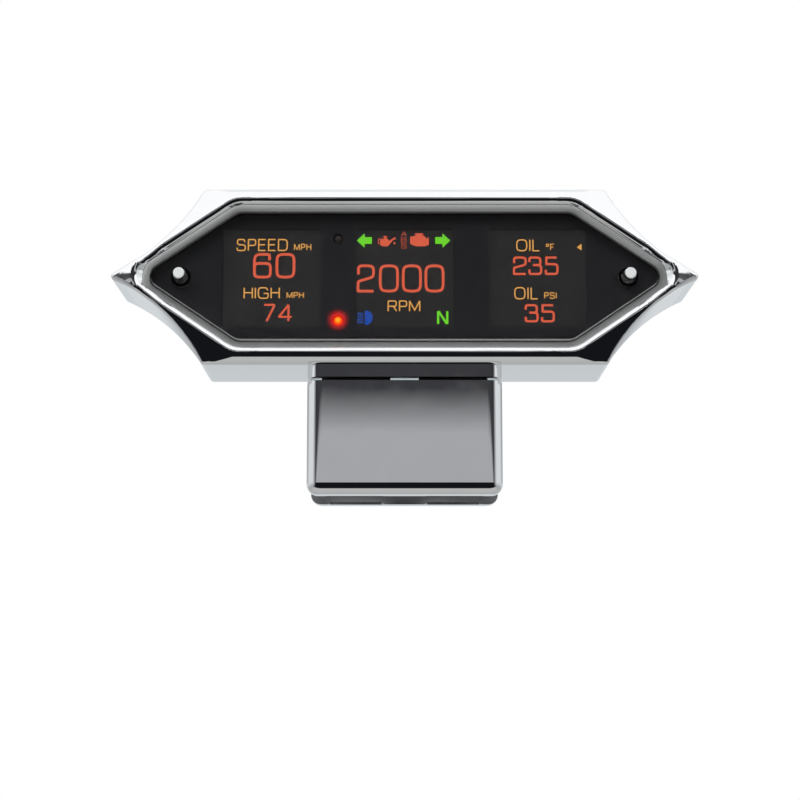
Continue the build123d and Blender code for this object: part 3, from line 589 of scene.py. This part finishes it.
def character(glyphs, sign, x, z, width, height, weight):
    """One character, its ink filling the box from (x, z), in millimetres."""
    inner_w = max(width - weight, 0.001)
    inner_h = height - weight
    for closed, radius, points in CHARACTERS[sign][1]:
        placed = [
            (x + weight / 2 + p[0] * inner_w, z + weight / 2 + p[1] * inner_h, *(r * inner_h for r in p[2:]))
            for p in points
        ]
        glyphs.stroke(rounded(placed, radius * inner_h, closed), weight, closed)


def word(glyphs, text, x, z, width, height, weight):
    """A word fitted to its box: characters keep their proportions and are evenly spaced."""
    gap = LETTER_GAP * height
    drawn = sum(CHARACTERS[c][0] for c in text)
    room = width - len(text) * weight - (len(text) - 1) * gap
    for sign in text:
        wide = CHARACTERS[sign][0] / drawn * room + weight
        character(glyphs, sign, x, z, wide, height, weight)
        x += wide + gap


def polygon(glyphs, points):
    glyphs.slab([[Vector(p) for p in points]])


def display_glyphs(side, colour_name, finish, build):
    glyphs = Glyphs("display_glass_" + side)
    build(glyphs)
    glyphs.finish(f"glyphs_{side}_{colour_name}", finish)


AMBER = glow("glyph_amber", srgb(234, 170, 84), 1.9)
RED = glow("glyph_red", srgb(232, 98, 66), 1.8)
GREEN = glow("glyph_green", srgb(112, 226, 36), 1.85)
BLUE = glow("glyph_blue", srgb(18, 82, 190), 1.5)

LABEL = 0.40      # stroke widths, in millimetres
SMALL = 0.29
NUMBER = 0.88
THIN_NUMBER = 0.72
SLIM_NUMBER = 0.66
NEUTRAL = 0.72
LETTER_GAP = 0.15  # of a word's height


def left_labels(g):
    word(g, "SPEED", -11.6, 9.2, 16.6, 4.05, LABEL)
    word(g, "MPH", 7.0, 9.4, 5.6, 2.25, SMALL)
    word(g, "HIGH", -9.1, -6.6, 11.7, 3.85, LABEL)
    word(g, "MPH", 4.75, -6.45, 5.6, 2.1, SMALL)


def left_numbers(g):
    character(g, "6", -6.15, 0.15, 6.05, 8.4, NUMBER)
    character(g, "0", 1.1, 0.15, 6.4, 8.4, NUMBER)
    character(g, "7", -2.75, -14.25, 4.15, 6.0, SLIM_NUMBER)
    character(g, "4", 2.0, -14.25, 4.85, 6.0, SLIM_NUMBER)


def centre_numbers(g):
    character(g, "2", -15.45, -4.5, 5.85, 9.25, NUMBER)
    for x in (-8.3, -0.9, 6.4):
        character(g, "0", x, -4.5, 6.45, 9.25, NUMBER)


def centre_labels(g):
    word(g, "RPM", -5.5, -10.85, 10.55, 3.75, LABEL)


def warning_icons(g):
    # Oil can: body with its spout, lid, handle and drop
    polygon(g, [
        (-7.3, 10.8), (-5.4, 10.8), (-3.7, 12.9), (-3.0, 13.2), (-2.85, 13.75), (-3.35, 13.75), (-5.0, 12.6),
        (-5.4, 13.3), (-7.5, 13.3), (-7.9, 12.9), (-7.9, 11.5),
    ])
    polygon(g, [
        (-6.7, 13.25), (-5.9, 13.25), (-5.9, 13.9), (-5.6, 13.9), (-5.6, 14.2), (-7.0, 14.2), (-7.0, 13.9),
        (-6.7, 13.9),
    ])
    handle = [(-7.8, 13.1), (-8.5, 13.3), (-8.5, 11.7), (-7.7, 11.5)]
    g.stroke(rounded(handle, 0.2), 0.25)
    polygon(g, [(-3.3, 12.3), (-3.0, 12.0), (-3.0, 11.6), (-3.3, 11.4), (-3.6, 11.6), (-3.6, 12.0)])
    # Engine: block, then the cover on its top
    polygon(g, [
        (2.9, 11.2), (3.6, 10.8), (6.6, 10.8), (7.1, 11.4), (7.1, 11.9), (7.35, 11.9), (7.35, 11.1),
        (7.85, 11.3), (7.85, 13.6), (7.35, 13.8), (7.35, 13.1), (7.1, 13.1), (6.9, 13.7), (6.2, 14.3),
        (3.4, 14.3), (2.8, 13.6), (2.3, 13.6), (2.3, 14.0), (1.8, 14.0), (1.8, 11.6), (2.3, 11.6),
        (2.3, 12.3), (2.6, 12.3),
    ])
    polygon(g, [
        (3.4, 14.35), (3.9, 14.35), (3.9, 14.7), (3.3, 14.7), (3.3, 15.1), (6.0, 15.1), (6.0, 14.7),
        (5.4, 14.7), (5.4, 14.35), (5.5, 14.32), (5.5, 14.28), (3.4, 14.28),
    ])
    for sign, z in (("A", 14.1), ("B", 12.1), ("S", 10.1)):
        character(g, sign, -1.15, z, 1.8, 1.6, 0.14)


def turn_arrows(g):
    arrow = [
        (15.25, 12.7), (12.75, 15.1), (12.75, 13.85), (10.4, 13.85), (10.4, 11.6), (12.75, 11.6),
        (12.75, 10.3),
    ]
    for side, middle in ((-1, -0.2), (1, -0.5)):
        polygon(g, [(side * x + middle, z) for x, z in arrow])
    word(g, "N", 10.4, -15.2, 3.65, 4.9, NEUTRAL)


def high_beam(g):
    turns = [radians(d) for d in range(-90, 91, 15)]
    bulge = [(-12.5 + 2.2 * cos(a), -12.8 + 2.35 * sin(a)) for a in turns]
    polygon(g, [(-12.75, -15.1)] + bulge + [(-12.75, -10.5)])
    for z in (-11.5, -12.4, -13.35, -14.3):
        g.stroke([Vector((-15.25, z)), Vector((-13.2, z))], 0.42)


def right_labels(g):
    word(g, "OIL", -6.7, 9.1, 7.65, 4.05, LABEL)
    word(g, "*F", 2.85, 9.4, 2.8, 2.25, SMALL)
    polygon(g, [(12.9, 10.5), (14.45, 11.65), (14.45, 9.4)])
    word(g, "OIL", -7.5, -6.8, 7.7, 4.1, LABEL)
    word(g, "PSI", 2.15, -6.6, 4.0, 2.2, SMALL)


def right_numbers(g):
    for sign, x in (("2", -7.85), ("3", -2.85), ("5", 2.4)):
        character(g, sign, x, 1.25, 4.5, 6.15, THIN_NUMBER)
    for sign, x in (("3", -4.2), ("5", 1.0)):
        character(g, sign, x, -14.35, 4.5, 6.0, THIN_NUMBER)


display_glyphs("left", "amber", AMBER, left_labels)
display_glyphs("left", "red", RED, left_numbers)
display_glyphs("centre", "red", RED, centre_numbers)
display_glyphs("centre", "amber", AMBER, centre_labels)
display_glyphs("centre", "warnings", RED, warning_icons)
display_glyphs("centre", "green", GREEN, turn_arrows)
display_glyphs("centre", "blue", BLUE, high_beam)
display_glyphs("right", "amber", AMBER, right_labels)
display_glyphs("right", "red", RED, right_numbers)


# ---------------------------------------------------------------- studio

# Brightness by the turn about X from straight ahead, in degrees: down is negative, behind is 180
WHITE = (1.04, 1.04, 1.045, 1)
BANDS = [
    (-180, srgb(206, 211, 214)), (-171, srgb(206, 211, 214)), (-164, srgb(172, 173, 172)),
    (-63, srgb(188, 188, 186)), (-56, srgb(20, 21, 24)), (0.5, srgb(20, 21, 24)),
    (2.2, srgb(166, 166, 168)), (9.0, srgb(170, 170, 172)), (9.7, srgb(60, 60, 63)),
    (14, srgb(50, 50, 52)), (18, srgb(26, 26, 28)), (21, srgb(70, 70, 72)), (23, WHITE),
    (96, WHITE), (124, srgb(226, 229, 231)), (148, WHITE), (158, srgb(150, 153, 156)),
    (168, srgb(150, 153, 156)), (175, srgb(212, 216, 219)),
]


def studio_world():
    """A soft studio of bands ahead, above and behind, which fade to plain walls at the two sides."""
    world = bpy.data.worlds.new("studio")
    scene.world = world
    world.use_nodes = True
    t = Tree(world.node_tree)
    way = t.node("ShaderNodeTexCoord").outputs["Generated"]
    across, forward, up = (t.part(way, name) for name in "XYZ")
    turn = t.math("ARCTAN2", up, t.math("MULTIPLY", forward, -1.0))
    ramp = t.node("ShaderNodeValToRGB")
    t.feed(ramp.inputs["Fac"], t.span(turn, -pi, pi))
    elements = ramp.color_ramp.elements
    while len(elements) < len(BANDS):
        elements.new(0.5)
    for element, (angle, _) in zip(elements, BANDS):
        element.position = (angle + 180) / 360
    for element, (_, colour) in zip(elements, BANDS):
        element.color = colour
    walls = t.mix(t.span(up, -0.5, 0.5), srgb(150, 152, 155), srgb(246, 248, 249))
    room = t.mix(t.span(t.math("ABSOLUTE", across), 0.72, 0.94), ramp.outputs["Color"], walls)
    seen = t.mix(t.node("ShaderNodeLightPath").outputs["Is Camera Ray"], room, (1, 1, 1, 1))
    t.feed(t.tree.nodes["Background"].inputs["Color"], seen)


def softbox(name, place):
    light = bpy.data.lights.new(name, "AREA")
    light.shape = "DISK"
    light.size = SOFTBOX_SIZE
    light.energy = SOFTBOX_WATTS
    box = bpy.data.objects.new(name, light)
    scene.collection.objects.link(box)
    box.location = place
    centre = (CAD_LOW + CAD_HIGH) / 2
    box.rotation_euler = (centre - Vector(place)).to_track_quat("-Z", "Y").to_euler()
    box.visible_glossy = False


def floor():
    mesh = bmesh.new()
    bmesh.ops.create_circle(mesh, cap_ends=True, segments=96, radius=FLOOR_RADIUS)
    data = bpy.data.meshes.new("studio_floor")
    mesh.to_mesh(data)
    piece = bpy.data.objects.new("studio_floor", data)
    scene.collection.objects.link(piece)
    piece.location.z = CAD_LOW.z - FLOOR_DROP
    g = Graph("pale_floor")
    soft = g.noise(0.4, 2.0)
    g.set(
        Base_Color=g.mix(soft, srgb(226, 226, 225), srgb(232, 232, 231)),
        Roughness=0.9,
    )
    data.materials.append(g.mat)
    piece.visible_glossy = False
    piece.visible_transmission = False


studio_world()
softbox("key", (-0.7, -0.9, 1.2))
softbox("back", (0.8, 1.1, 0.9))
floor()

camera_data = bpy.data.cameras.new("camera")
camera_data.sensor_width = 36.0
camera_data.lens = LENS_MM
camera_data.clip_start = 0.01
camera = bpy.data.objects.new("camera", camera_data)
scene.collection.objects.link(camera)
camera.location = CAMERA_PLACE
camera.rotation_euler = (radians(90 + CAMERA_TILT_UP), 0, 0)
scene.camera = camera
